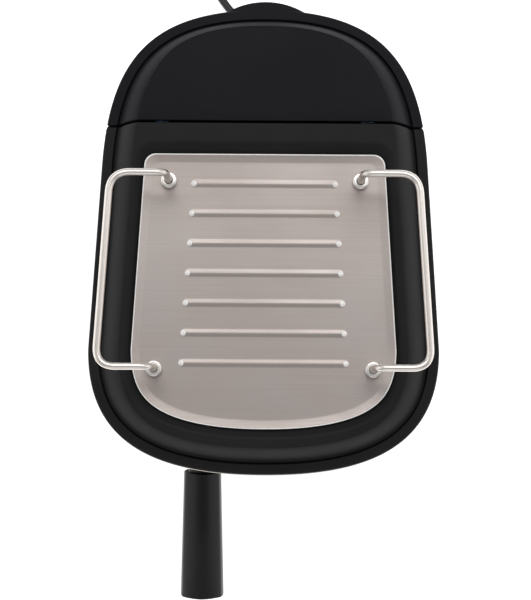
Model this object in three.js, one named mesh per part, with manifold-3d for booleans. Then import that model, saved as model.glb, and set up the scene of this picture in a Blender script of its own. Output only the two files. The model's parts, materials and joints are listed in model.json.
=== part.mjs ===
// A compact pump espresso machine, in millimetres: X right, Y towards the back, Z up.
// The origin lies on the floor, under the middle of the box that holds the machine without its lead.
import * as THREE from 'three';
import { mergeVertices } from 'three/addons/utils/BufferGeometryUtils.js';
import Module from 'manifold-3d';

const wasm = await Module();
wasm.setup();

// Driving dimensions
const gap = 0.3; // between pieces that touch
const frontY = -96.7; // foremost point of the rim
const rearY = 170.8; // rearmost point of the rim, without the finger tab
const halfWidth = 100;
const widestY = -26;
const sideTaper = 0.0612; // the sides close towards the back by this slope
const seamY = 102; // middle of the gap between cover and tank lid
const seamGap = 1.4;
const wall = 2.5;
const bodyInset = 4; // housing walls stand this far inside the rim
const level = {
  foot: 4, deck: 34, trayRim: 36, headUnder: 170, rimUnder: 236, rimTop: 246, crest: 264, cupTray: 262,
  rail: 294,
};
const columnY = 28; // front of the column
const group = { x: -38, y: -13 }; // vertical axis of the brew group
const wire = 2; // radius of the cup rails
const leadRadius = 2.7;
const coil = { x: -26, y: 281, radius: 30, half: 6, height: 11.2 };

// Materials
const finish = (color, roughness, metalness) => (
  new THREE.MeshStandardMaterial({ color, roughness, metalness })
);
const finishes = {
  black: finish('#17171a', 0.38, 0),
  softBlack: finish('#1b1b1d', 0.6, 0),
  steel: finish('#b9b3ac', 0.32, 1),
  chrome: finish('#d8d8d8', 0.12, 1),
  aluminium: finish('#a8aaac', 0.45, 1),
  brass: finish('#b08d4a', 0.35, 1),
  rubber: finish('#141414', 0.85, 0),
  smoke: finish('#4d6378', 0.2, 0),
  hose: finish('#dfe2e2', 0.5, 0),
  board: finish('#2f6b46', 0.6, 0),
  red: finish('#b3202a', 0.4, 0),
  amber: finish('#e09a2b', 0.3, 0),
};

// Closed solids
function weld(geometry) {
  const bare = geometry.clone();
  for (const name of ['normal', 'uv']) bare.deleteAttribute(name);
  const merged = mergeVertices(bare, 1e-4);
  const { array: index } = merged.index;
  const kept = [];
  for (let i = 0; i < index.length; i += 3) {
    const [a, b, c] = [index[i], index[i + 1], index[i + 2]];
    if (a !== b && b !== c && c !== a) kept.push(a, b, c);
  }
  const at = (i) => new THREE.Vector3().fromBufferAttribute(merged.attributes.position, i);
  let volume = 0;
  for (let i = 0; i < kept.length; i += 3) volume += at(kept[i]).dot(at(kept[i + 1]).cross(at(kept[i + 2])));
  merged.setIndex(volume < 0 ? kept.reverse() : kept);
  return merged;
}

function toSolid(geometry) {
  const merged = weld(geometry);
  return new wasm.Manifold(new wasm.Mesh({
    numProp: 3,
    vertProperties: new Float32Array(merged.attributes.position.array),
    triVerts: new Uint32Array(merged.index.array),
  }));
}

function toGeometry(solid) {
  const mesh = solid.getMesh();
  const geometry = new THREE.BufferGeometry();
  geometry.setAttribute('position', new THREE.BufferAttribute(new Float32Array(mesh.vertProperties), 3));
  geometry.setIndex(new THREE.BufferAttribute(new Uint32Array(mesh.triVerts), 1));
  return geometry;
}

const chain = (operation) => (first, ...others) => toGeometry(
  others.reduce((solid, other) => solid[operation](toSolid(other)), toSolid(first)),
);
const join = chain('add');
const cut = chain('subtract');
const common = chain('intersect');

// Plain shapes
function block(x0, x1, y0, y1, z0, z1) {
  const box = new THREE.BoxGeometry(x1 - x0, y1 - y0, z1 - z0);
  return box.translate((x0 + x1) / 2, (y0 + y1) / 2, (z0 + z1) / 2);
}

function turned(profile, x = 0, y = 0, sides = 20) { // profile of [radius, z] about a vertical axis
  const points = profile.map(([r, z]) => new THREE.Vector2(r, z));
  return weld(new THREE.LatheGeometry(points, sides).rotateX(Math.PI / 2)).translate(x, y, 0);
}

function rod(radius, z0, z1, x = 0, y = 0, sides = 16) {
  return turned([[0, z0], [radius, z0], [radius, z1], [0, z1]], x, y, sides);
}

function ring(outer, inner, z0, z1, x = 0, y = 0, sides = 20) {
  return turned([[inner, z0], [outer, z0], [outer, z1], [inner, z1], [inner, z0]], x, y, sides);
}

// Turns a shape made about +Z so that it starts at a point and follows a direction
function along(geometry, from, direction) {
  const turn = new THREE.Quaternion();
  turn.setFromUnitVectors(new THREE.Vector3(0, 0, 1), direction.clone().normalize());
  return geometry.applyQuaternion(turn).translate(from.x, from.y, from.z);
}

function tube(curve, radius, steps, sides = 8) {
  const section = new THREE.Shape(Array.from({ length: sides }, (_, i) => {
    const angle = (i * 2 * Math.PI) / sides;
    return new THREE.Vector2(radius * Math.cos(angle), radius * Math.sin(angle));
  }));
  return new THREE.ExtrudeGeometry(section, { extrudePath: curve, steps });
}

const point = (x, y, z) => new THREE.Vector3(x, y, z);
const smooth = (...places) => (
  new THREE.CatmullRomCurve3(places.map((place) => point(...place)), false, 'centripetal')
);

// Plan of the rim: right half as front curve, tapering side and rear curve, mirrored to the left
const sideX = (y) => halfWidth - sideTaper * (y - widestY);
const sideEndY = 80;
const frontCurve = new THREE.CubicBezierCurve(
  new THREE.Vector2(0, frontY), new THREE.Vector2(64, frontY),
  new THREE.Vector2(halfWidth, -78), new THREE.Vector2(halfWidth, widestY),
);
const rearCurve = new THREE.CubicBezierCurve(
  new THREE.Vector2(sideX(sideEndY), sideEndY), new THREE.Vector2(sideX(sideEndY + 60), sideEndY + 60),
  new THREE.Vector2(68, rearY), new THREE.Vector2(0, rearY),
);
const sideLine = new THREE.LineCurve(
  new THREE.Vector2(halfWidth, widestY), new THREE.Vector2(sideX(sideEndY), sideEndY),
);
const rightHalf = [
  ...frontCurve.getPoints(12), ...sideLine.getPoints(3).slice(1), ...rearCurve.getPoints(11).slice(1),
];
const mirrored = (points) => points.map((p) => new THREE.Vector2(-p.x, p.y)).reverse();
const rim = [...rightHalf, ...mirrored(rightHalf.slice(1, -1))];

function inset(distance) {
  return rim.map((p, i) => {
    const before = rim[(i + rim.length - 1) % rim.length];
    const after = rim[(i + 1) % rim.length];
    const run = after.clone().sub(before).normalize();
    return new THREE.Vector2(p.x - run.y * distance, p.y + run.x * distance);
  });
}

const slab = (points, z0, z1) => new THREE.ExtrudeGeometry(new THREE.Shape(points), {
  depth: z1 - z0, bevelEnabled: false,
}).translate(0, 0, z0);

function prism(distance, y0, y1, z0, z1) { // the plan, inset, between two straight cuts across the machine
  return common(slab(inset(distance), z0, z1), block(-halfWidth * 2, halfWidth * 2, y0, y1, z0 - 1, z1 + 1));
}

function loft(rings) { // rings of [points, z] with equal counts, closed by flat ends
  const count = rings[0][0].length;
  const positions = rings.flatMap(([points, z]) => points.flatMap((p) => [p.x, p.y, z]));
  const index = [];
  for (let r = 0; r + 1 < rings.length; r += 1) {
    for (let i = 0; i < count; i += 1) {
      const [a, b] = [r * count + i, r * count + ((i + 1) % count)];
      index.push(a, b, b + count, a, b + count, a + count);
    }
  }
  const last = (rings.length - 1) * count;
  for (const [a, b, c] of THREE.ShapeUtils.triangulateShape(rings[0][0], [])) index.push(c, b, a);
  for (const [a, b, c] of THREE.ShapeUtils.triangulateShape(rings.at(-1)[0], [])) {
    index.push(last + a, last + b, last + c);
  }
  const geometry = new THREE.BufferGeometry();
  geometry.setAttribute('position', new THREE.Float32BufferAttribute(positions, 3));
  geometry.setIndex(index);
  return geometry;
}
const insetLoft = (profile) => loft(profile.map(([distance, z]) => [inset(distance), z]));

// Plan of the cup tray: the rim's own front and sides, with a straight back and round rear corners
function trayPlan(distance, backY, corner) {
  const sideCount = rightHalf.filter((p) => p.y < sideEndY - 30).length;
  const right = inset(distance).slice(0, sideCount);
  const x = sideX(backY) - distance;
  for (let i = 0; i <= 4; i += 1) {
    const angle = (i * Math.PI) / 8;
    right.push(new THREE.Vector2(x - corner * (1 - Math.cos(angle)), backY - corner * (1 - Math.sin(angle))));
  }
  return [...right, ...mirrored(right.slice(1))];
}

const machine = new THREE.Group();
function add(name, geometry, material) {
  const mesh = new THREE.Mesh(weld(geometry), material);
  mesh.name = name;
  machine.add(mesh);
}
const pair = [['left', -1], ['right', 1]];

// Base: hollow block under the column and tank, and the thin shelf that the drip tray slides on
const farForward = -200;
const farBack = 200;
const baseFront = 20.3;
function base() {
  const blockBody = prism(bodyInset, baseFront, farBack, level.foot, level.deck);
  const hollow = prism(bodyInset + wall, 24, farBack, level.foot - 1, level.deck - wall);
  const seatHole = rod(11, 20, 40, 0, 122);
  const hoseHole = rod(6.5, 20, 40, 22, 62);
  const leadHole = along(rod(4.4, 0, 10), point(0, 160, 13), point(0, 1, 0));
  add('base_housing', cut(blockBody, hollow, seatHole, hoseHole, leadHole), finishes.black);
  add('tray_shelf', prism(8, -84, baseFront - gap, level.foot, 8), finishes.black);
  const floor = prism(bodyInset + wall + gap, 24 + gap, farBack, level.foot + gap, 6);
  add('base_plate', floor, finishes.softBlack);
  for (const [end, y] of [['front', -62], ['rear', 128]]) {
    for (const [side, sign] of pair) {
      const top = level.foot - gap;
      const foot = turned([[0, 0], [8, 0], [9, 1], [9, top], [0, top]], sign * 62, y, 16);
      add(`foot_${end}_${side}`, foot, finishes.rubber);
    }
  }
}

// Housing: one C-shaped shell for head and column, its panels, and the bright trim under the rim
const dial = { x: 49.3, y: -69.3, z: 210, radius: 20, half: 6 };
const dialRoom = 0.7;
const buttonRadius = 6.8;
const lampRadius = 2.4;
const shellTop = level.rimUnder - gap;

function onFront(x, z) { // a point on the outer face of the head's front wall, and the way it faces
  let [low, high] = [0, 1];
  for (let i = 0; i < 30; i += 1) {
    const middle = (low + high) / 2;
    if (frontCurve.getPoint(middle).x < Math.abs(x)) low = middle;
    else high = middle;
  }
  const run = frontCurve.getTangent(low);
  const facing = point(Math.sign(x || 1) * run.y, -run.x, 0);
  const edge = frontCurve.getPoint(low);
  return { place: point(x, edge.y, z).addScaledVector(facing, -bodyInset), facing };
}

const buttonZ = 206;
const lampZ = 219;
const buttons = [['power', -18], ['brew', 2], ['steam', 22]]
  .map(([name, x]) => ({ name, ...onFront(x, buttonZ) }));
const lamps = [['ready', -8], ['heat', 12]].map(([name, x]) => ({ name, ...onFront(x, lampZ) }));

function housing() {
  const backY = seamY - seamGap / 2 - 2;
  const outside = prism(bodyInset, farForward, backY, level.deck + gap, shellTop);
  const inside = prism(bodyInset + wall, farForward, backY - wall, 0, level.rimUnder + 10);
  const cupSpace = block(-120, 120, -120, columnY, 0, level.headUnder);
  const dialHeight = dial.half + dialRoom;
  const bores = [
    ...buttons.map(({ place, facing }) => along(rod(buttonRadius + 0.5, -8, 5), place, facing)),
    ...lamps.map(({ place, facing }) => along(rod(lampRadius + 0.3, -8, 5), place, facing)),
    rod(dial.radius + dialRoom, dial.z - dialHeight, dial.z + dialHeight, dial.x, dial.y, 28),
  ];
  add('body_shell', cut(outside, inside, cupSpace, ...bores), finishes.black);
  const panelInset = bodyInset + wall + gap;
  const splash = prism(panelInset, columnY + gap, columnY + wall, level.deck + 2 * gap, level.headUnder);
  add('splash_panel', splash, finishes.steel);
  const underZ = level.headUnder + gap;
  const underside = prism(panelInset, farForward, columnY + wall, underZ, underZ + wall);
  const groupHole = rod(37.5, 160, 180, group.x, group.y, 40);
  const wandHole = rod(9.5, 160, 180, 56, 5);
  add('head_underside', cut(underside, groupHole, wandHole), finishes.softBlack);
  const trimOutside = prism(-0.6, farForward, widestY + 6, 226, shellTop);
  add('front_trim', cut(trimOutside, slab(inset(bodyInset - gap), 220, 240)), finishes.steel);
}

// Controls on the head's front: three push buttons, two lamps, and the steam dial with its spindle
function controls() {
  for (const { name, place, facing } of buttons) {
    const cap = turned([
      [0, -11], [5, -11], [5, -6], [8.6, -6], [8.6, -3.6], [buttonRadius, -3.6], [buttonRadius, 0.9],
      [6, 1.6], [0, 1.6],
    ], 0, 0, 16);
    add(`${name}_button`, along(cap, place, facing), finishes.softBlack);
  }
  for (const { name, place, facing } of lamps) {
    const lens = along(rod(lampRadius, -6, 0.5, 0, 0, 12), place, facing);
    add(`${name}_lamp`, lens, name === 'heat' ? finishes.amber : finishes.red);
  }
  const low = dial.z - dial.half;
  add('steam_dial', turned([
    [0, low - 8], [3, low - 8], [3, low], [dial.radius - 1, low], [dial.radius, low + 1],
    [dial.radius, dial.z + dial.half - 1], [dial.radius - 1, dial.z + dial.half], [0, dial.z + dial.half],
  ], dial.x, dial.y, 28), finishes.black);
}

// Top: domed cover with a sunk cup tray, ribs, and a bent wire rail at each side
const domeProfile = [
  [1.2, level.rimUnder], [0, 237.2], [0, 244.6], [1.4, level.rimTop], [6.2, level.rimTop], [6.6, 245],
  [7.5, 245], [7.9, 247.2], [8.7, 251.5], [11, 257.2], [14.5, 261.6], [18.5, level.crest],
];
const sockets = [['front', 61.3, -37.5], ['rear', 54, 68.5]];

function cover() {
  const hollow = common(
    insetLoft([[9.6, 235], [9.6, 249], [12.5, 255], [16, 257.6]]),
    block(-200, 200, farForward, seamY - seamGap / 2 - 3, 200, 300),
  );
  const sunk = loft([
    [trayPlan(25.4, 84.1, 6.5), level.cupTray - 1.5], [trayPlan(21, 90, 9), level.crest + 0.2],
  ]);
  const front = block(-200, 200, farForward, seamY - seamGap / 2, 200, 300);
  add('top_cover', cut(common(insetLoft(domeProfile), front), hollow, sunk), finishes.black);

  const ribs = Array.from({ length: 7 }, (_, i) => {
    const y = 66.9 - i * 16.85;
    const half = 40.4 + i * 1.05;
    const shape = new THREE.Shape();
    shape.absarc(half - 1.3, y, 1.3, -Math.PI / 2, Math.PI / 2);
    shape.absarc(-half + 1.3, y, 1.3, Math.PI / 2, (Math.PI * 3) / 2);
    return new THREE.ExtrudeGeometry(shape, { depth: 1.2, bevelEnabled: false, curveSegments: 3 })
      .translate(0, 0, level.cupTray - 0.3);
  });
  const plate = slab(trayPlan(25.8, 83.7, 6), level.cupTray - 1.2, level.cupTray);
  add('cup_tray', join(plate, ...ribs), finishes.steel);

  for (const [side, sign] of pair) {
    for (const [end, x, y] of sockets) {
      const seat = ring(4.6, wire + 0.35, level.cupTray + gap, level.cupTray + 3.6, sign * x, y, 12);
      add(`rail_socket_${end}_${side}`, seat, finishes.chrome);
    }
    add(`cup_rail_${side}`, rail(sign), finishes.chrome);
  }
}

function rail(sign) {
  const [[, frontX, frontAt], [, rearX, rearAt]] = sockets;
  const foot = level.cupTray + gap;
  const corners = [
    [rearX, rearAt, foot], [rearX, rearAt, level.rail], [84.2, rearAt, level.rail],
    [91, frontAt, level.rail], [frontX, frontAt, level.rail], [frontX, frontAt, foot],
  ].map(([x, y, z]) => point(sign * x, y, z));
  const bends = [0, 7, 11, 11, 7, 0];
  const path = new THREE.CurvePath();
  let start = corners[0];
  for (let i = 1; i < corners.length; i += 1) {
    const towards = corners[i].clone().sub(corners[i - 1]).normalize();
    const end = corners[i].clone().addScaledVector(towards, -bends[i]);
    path.add(new THREE.LineCurve3(start, end));
    if (bends[i] > 0) {
      const onward = corners[i + 1].clone().sub(corners[i]).normalize();
      const after = corners[i].clone().addScaledVector(onward, bends[i]);
      path.add(new THREE.QuadraticBezierCurve3(end, corners[i], after));
      start = after;
    }
  }
  return tube(path, wire, 44);
}

// Water tank with its valve and hinge posts, and the lid that turns on them
const hingeX = 58.3;
const pivot = { y: 104.8, z: 262 };

function water() {
  const front = seamY + seamGap / 2;
  const shell = prism(bodyInset + 0.2, front + 0.3, farBack, level.deck + gap, shellTop);
  const room = prism(bodyInset + wall, front + wall + 0.3, farBack, level.deck + wall, level.rimUnder + 10);
  add('water_tank', cut(shell, room, rod(7, 20, 50, 0, 122)), finishes.smoke);
  const seat = level.deck + wall + gap;
  add('tank_valve', turned([
    [0, 26], [6.6, 26], [6.6, seat], [10, seat], [10, 40], [4, 42], [4, 48], [0, 48],
  ], 0, 122, 16), finishes.softBlack);
  add('tank_seat', turned([
    [3, 16], [5, 16], [5, 20], [10.6, 20], [10.6, level.deck], [7.2, level.deck], [7.2, 22], [3, 22], [3, 16],
  ], 0, 122, 16), finishes.rubber);

  const dome = common(insetLoft(domeProfile), block(-200, 200, front, farBack, 200, 300));
  const tabArc = common(
    rod(43, level.rimUnder, level.rimTop - 2, 0, 132.9, 72), block(-21.5, 21.5, 160, 180, 200, 300),
  );
  const hollow = common(
    insetLoft([[9.6, 235], [9.6, 249], [13, 256], [17, 260.8]]),
    block(-200, 200, front + wall, farBack, 200, 300),
  );
  const slots = pair.map(([, sign]) => {
    const x = sign * hingeX;
    const slot = block(x - 4.4, x + 4.4, front - 1, pivot.y + 3.8, 230, 270);
    const eye = along(rod(1.3, -7.2, 7.2, 0, 0, 12), point(x, pivot.y, pivot.z), point(1, 0, 0));
    return join(slot, eye);
  });
  add('tank_lid', cut(join(dome, tabArc), hollow, ...slots), finishes.black);
  for (const [side, sign] of pair) {
    const x = sign * hingeX;
    const post = block(x - 4, x + 4, pivot.y - 1.6, pivot.y + 1.6, level.rimUnder, pivot.z);
    const head = along(rod(1.6, -4, 4, 0, 0, 16), point(x, pivot.y, pivot.z), point(1, 0, 0));
    const pin = along(rod(1, -6.6, 6.6, 0, 0, 12), point(x, pivot.y, pivot.z), point(1, 0, 0));
    add(`tank_hinge_${side}`, join(post, head, pin), finishes.smoke);
  }
}

// Brew group: boiler, bayonet ring, gasket and shower
function brewGroup() {
  const { x, y } = group;
  const slots = [-45, 135].map((degrees) => (
    block(28, 34.4, -9, 9, 140, 159).rotateZ((degrees * Math.PI) / 180).translate(x, y, 0)
  ));
  const bayonet = turned([
    [30.3, 152], [37, 152], [37, 178], [30.3, 178], [30.3, 166], [33.8, 166], [33.8, 158.4], [30.3, 158.4],
    [30.3, 152],
  ], x, y, 32);
  add('group_ring', cut(bayonet, ...slots), finishes.aluminium);
  add('group_gasket', ring(30, 25, 169, 177.6, x, y, 24), finishes.rubber);
  add('shower_screen', turned([[0, 170], [24.6, 170], [24.6, 174], [0, 174]], x, y, 24), finishes.steel);
  add('shower_screw', turned([[0, 167.6], [3.5, 167.6], [3.5, 169.7], [0, 169.7]], x, y, 12), finishes.steel);
  add('boiler_base', turned([
    [0, 174.3], [24.6, 174.3], [24.6, 178.3], [38, 178.3], [38, 190], [0, 190],
  ], x, y, 24), finishes.aluminium);
  add('boiler_top', turned([
    [0, 190.3], [38, 190.3], [38, 196], [33, 197], [33, 216], [26, 223], [0, 223],
  ], x, y, 24), finishes.aluminium);
  add('boiler_thermostat', turned([
    [0, 223.3], [8, 223.3], [8, 229], [5, 231], [0, 231],
  ], x - 12, y + 10, 12), finishes.steel);
}

// Portafilter, locked in the ring with its handle straight forward and drooping a little
function portafilter() {
  const { x, y } = group;
  const bowl = turned([
    [0, 128], [19, 128], [26, 135], [29.6, 157], [29.6, 166], [26.6, 166], [26.6, 158], [24, 137], [17, 131],
    [0, 131],
  ], x, y, 28);
  const ears = [0, 180].map((degrees) => (
    block(27.6, 33, -6.5, 6.5, 159.2, 164).rotateZ((degrees * Math.PI) / 180).translate(x, y, 0)
  ));
  add('portafilter_bowl', join(bowl, ...ears), finishes.chrome);
  add('filter_basket', turned([
    [0, 137.6], [22.6, 137.6], [25.4, 158], [26.2, 166.3], [29, 166.3], [29, 167.2], [25.2, 167.2],
    [24.4, 158], [21.6, 138.6], [0, 138.6],
  ], x, y, 24), finishes.steel);
  const gripStart = point(x, -72, 140);
  const gripEnd = point(x, -175, 123.6);
  const droop = gripEnd.clone().sub(gripStart);
  const length = droop.length();
  add('portafilter_handle', along(turned([
    [0, 0], [10.4, 0], [11.2, 2], [11.6, 24], [11.9, 36], [13.2, length * 0.62], [14.1, length * 0.9],
    [13.6, length - 5], [10.8, length - 1.6], [5, length], [0, length],
  ], 0, 0, 24), gripStart, droop), finishes.black);
  const backwards = droop.clone().normalize();
  const neckStart = gripStart.clone().addScaledVector(backwards, -36);
  const neck = along(turned([
    [0, 0], [6.4, 0], [6.4, 30], [9.6, 33], [9.6, 36 - gap], [0, 36 - gap],
  ], 0, 0, 16), neckStart, droop);
  const bowlSpace = turned([
    [0, 120], [19, 127], [26 + gap, 134.6], [30, 157], [30, 170], [0, 170],
  ], x, y, 28);
  add('portafilter_neck', cut(neck, bowlSpace), finishes.chrome);
  const stem = rod(9, 116, 128 - gap, x, y);
  const spouts = [-1, 1].map((sign) => tube(
    smooth([x, y, 121], [x + sign * 8, y, 118], [x + sign * 13, y, 112], [x + sign * 14, y, 105]), 4.2, 8,
  ));
  add('twin_spout', join(stem, ...spouts), finishes.chrome);
}

// Steam side: valve, pipe, ball joint, wand and its pull-off froth sleeve
const wandTop = { x: 56, y: 5 };
const wandTip = { x: 64, y: -27 };

function steamSide() {
  add('steam_valve', turned([
    [0, 176], [9, 176], [9, 194], [6, 196], [0, 196],
  ], dial.x, dial.y, 16), finishes.brass);
  add('steam_pipe', tube(smooth(
    [dial.x, dial.y + 10.2, 185], [dial.x + 2, dial.y + 26, 190], [wandTop.x + 1, wandTop.y - 22, 194],
    [wandTop.x, wandTop.y - 4, 192], [wandTop.x, wandTop.y, 184.4],
  ), 2.5, 16), finishes.steel);
  add('wand_socket', turned([
    [4, 163], [7.2, 163], [9, 166], [9, 182], [3, 184], [3, 180], [6.6, 178], [6.6, 168], [4, 165.6],
    [4, 163],
  ], wandTop.x, wandTop.y, 16), finishes.softBlack);
  const ball = new THREE.SphereGeometry(6, 14, 8).translate(wandTop.x, wandTop.y, 171.5);
  const stem = tube(smooth(
    [wandTop.x, wandTop.y, 168], [wandTop.x, wandTop.y, 158], [wandTop.x + 3, wandTop.y - 12, 146],
    [wandTip.x - 0.6, wandTip.y + 4, 138], [wandTip.x, wandTip.y, 130], [wandTip.x, wandTip.y, 118],
    [wandTip.x, wandTip.y, 106],
  ), 3, 24);
  add('steam_wand', join(ball, stem), finishes.steel);
  add('froth_sleeve', turned([
    [3.9, 96], [7.4, 96], [8, 98], [8, 122], [5.8, 126], [3.9, 126], [3.9, 96],
  ], wandTip.x, wandTip.y, 16), finishes.black);
}

// Pump, hoses and control board inside the column
function works() {
  const [x, y] = [22, 62];
  const coilBlock = block(x - 22, x + 22, y - 18, y + 18, 76, 118);
  add('pump', join(rod(9, 58, 150, x, y), coilBlock), finishes.softBlack);
  add('pump_bracket', cut(
    join(block(x - 24, x + 24, y + 18.4, y + 20.4, 50, 124), block(x - 20, x + 20, y - 14, y + 20.4, 62, 65)),
    rod(9.8, 55, 70, x, y),
  ), finishes.steel);
  add('suction_hose', tube(smooth(
    [0, 122, 15.6], [0, 120.4, 12], [0, 116, 10.6], [2, 108, 10.4], [12, 82, 10.6], [20, 66, 12],
    [x, y, 24], [x, y, 57.6],
  ), 3, 26), finishes.hose);
  add('pressure_hose', tube(smooth(
    [x, y, 150.4], [x, y, 172], [18, 50, 205], [0, 22, 232], [-22, -2, 244], [group.x, group.y, 240],
    [group.x + 4, group.y - 6, 232], [group.x + 4, group.y - 6, 223.4],
  ), 2.4, 28), finishes.hose);
  add('control_board', join(
    block(-82, -14, 60, 61.6, 60, 130), block(-70, -50, 50, 60.4, 70, 92), block(-40, -22, 46, 60.4, 98, 120),
    block(-76, -62, 52, 60.4, 102, 114),
  ), finishes.board);
}

// Drip tray under the group, its lift-off grille and the level float that rises through it
const floatAt = { x: 40, y: -58 };

function dripTray() {
  const outside = prism(bodyInset + 0.2, farForward, 19.5, 8.3, level.trayRim);
  const room = prism(bodyInset + wall + 0.4, farForward, 17, 11, level.trayRim + 10);
  add('drip_tray', cut(outside, room), finishes.black);
  const plate = prism(bodyInset + 1, farForward, 19, level.trayRim + gap, level.trayRim + 2.6);
  const slots = Array.from({ length: 9 }, (_, i) => {
    const y = -70 + i * 10;
    const half = Math.min(80, 52 + i * 7);
    return [-1, 1].map((sign) => {
      const [inner, outer] = [4, half].map((reach) => sign * reach);
      return block(Math.min(inner, outer), Math.max(inner, outer), y - 2.4, y + 2.4, 20, 50);
    });
  }).flat().filter((_, i) => i !== 3);
  add('drip_grille', cut(plate, ...slots, rod(8, 20, 50, floatAt.x, floatAt.y)), finishes.steel);
  add('level_float', turned([
    [0, 14], [9, 14], [9, 20], [6, 21], [6, level.trayRim + 1.6], [0, level.trayRim + 1.6],
  ], floatAt.x, floatAt.y, 12), finishes.red);
}

// Lead: a tapered relief at the back, the run across the floor, the put-away coil and a flat plug
const reliefEnd = 195;
const leadRoute = [
  [0, 195.7, 13], [-0.2, 199.4, 12.6], [-1.9, 205.2, 10], [-5.2, 211, 6.4], [-9.4, 216.2, 4],
  [-14.4, 220.8, 3], [-19.2, 224.7, 2.8], [-23.2, 228, 2.8], [-26.7, 231.4, 2.8], [-29.8, 235.4, 2.8],
  [-32.6, 239.3, 2.8], [-36, 244, 2.8],
];

function lead() {
  const relief = turned([
    [0, 0], [6.2, 0], [6.2, 3], [5, 3.4], [4.2, 16], [3.5, reliefEnd - 167.1], [0, reliefEnd - 167.1],
  ], 0, 0, 12);
  add('strain_relief', along(relief, point(0, 167.1, 13), point(0, 1, 0)), finishes.rubber);
  add('power_cord', tube(smooth(...leadRoute), leadRadius, 26), finishes.rubber);
  const { x, y, radius, half, height } = coil;
  add('cord_coil', turned([
    [radius - half + 1.5, 0], [radius + half - 1.5, 0], [radius + half, 1.5], [radius + half, height - 1.5],
    [radius + half - 1.5, height], [radius - half + 1.5, height], [radius - half, height - 1.5],
    [radius - half, 1.5], [radius - half + 1.5, 0],
  ], x, y, 30), finishes.rubber);
  const tailRadius = 3.4;
  // The tail starts just outside the ring
  const reach = Math.sqrt((radius + half) ** 2 - (radius - tailRadius - gap) ** 2) + gap;
  const tail = turned([[0, 0], [tailRadius, 0], [4.6, 20], [7, 22], [7, 26], [0, 26]], 0, 0, 12);
  const outline = new THREE.Shape();
  outline.moveTo(-9, 24).lineTo(9, 24).quadraticCurveTo(14, 26, 14, 33).lineTo(14, 56).lineTo(-14, 56)
    .lineTo(-14, 33).quadraticCurveTo(-14, 26, -9, 24);
  const body = new THREE.ExtrudeGeometry(outline, {
    depth: 12, bevelSize: 2, bevelThickness: 2, bevelOffset: -2, bevelSegments: 1, curveSegments: 3,
  }).rotateX(Math.PI / 2).translate(0, 6, 0);
  const pins = [-9.5, 0, 9.5].map((across) => rod(2.2, 50, 75, across, 0, 12));
  const plug = join(tail, body, ...pins).rotateZ(Math.PI / 2); // flat side down once it lies along X
  add('power_plug', along(plug, point(x + reach, y + radius, 8.2), point(1, 0, 0)), finishes.rubber);
}

base();
housing();
controls();
cover();
water();
brewGroup();
portafilter();
steamSide();
works();
dripTray();
lead();

export default machine;
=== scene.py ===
import json
import math

import bpy
import numpy as np
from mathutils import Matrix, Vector


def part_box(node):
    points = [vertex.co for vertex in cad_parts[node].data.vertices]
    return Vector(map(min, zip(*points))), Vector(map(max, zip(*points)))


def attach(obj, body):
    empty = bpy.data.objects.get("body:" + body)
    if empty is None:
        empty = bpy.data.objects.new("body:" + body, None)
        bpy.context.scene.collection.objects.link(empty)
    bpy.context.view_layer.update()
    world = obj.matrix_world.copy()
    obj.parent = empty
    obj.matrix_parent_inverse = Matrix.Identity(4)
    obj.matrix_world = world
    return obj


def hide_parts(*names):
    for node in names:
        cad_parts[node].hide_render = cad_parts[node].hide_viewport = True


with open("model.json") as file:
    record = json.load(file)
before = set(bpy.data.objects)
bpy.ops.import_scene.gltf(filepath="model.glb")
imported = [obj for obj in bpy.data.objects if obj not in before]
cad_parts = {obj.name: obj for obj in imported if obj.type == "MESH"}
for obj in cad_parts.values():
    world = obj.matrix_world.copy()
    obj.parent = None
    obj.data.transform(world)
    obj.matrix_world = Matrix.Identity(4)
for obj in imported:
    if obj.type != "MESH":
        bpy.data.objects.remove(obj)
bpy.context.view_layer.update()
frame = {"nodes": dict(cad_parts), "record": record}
print("frame loaded:", len(frame["nodes"]), "nodes")

metre = 0.001  # the script works in millimetres, X right, Y back, Z up
slotOf = {part["node"]: part["material_slot"] for part in frame["record"]["subparts"]}
finishes = {}  # material for each slot and for each piece that has its own, filled below


def corners(node):
    low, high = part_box(node)
    return np.array(low) / metre, np.array(high) / metre


def unit(vector):
    vector = np.asarray(vector, float)
    return vector / np.linalg.norm(vector, axis=-1, keepdims=True)


# Camera

cameraSettings = dict(place=(1.4, -72.44, 1221.0), tilt=4.3987, yaw=0.384, lens=102.96, sensor=36.0)


def addCamera(settings):
    data = bpy.data.cameras.new("camera")
    data.lens = settings["lens"]
    data.sensor_width = settings["sensor"]
    data.clip_start = 0.01
    camera = bpy.data.objects.new("camera", data)
    camera.location = np.array(settings["place"]) * metre
    camera.rotation_euler = (math.radians(settings["tilt"]), 0, math.radians(settings["yaw"]))
    bpy.context.scene.collection.objects.link(camera)
    bpy.context.scene.camera = camera


addCamera(cameraSettings)


# Surfaces

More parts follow.
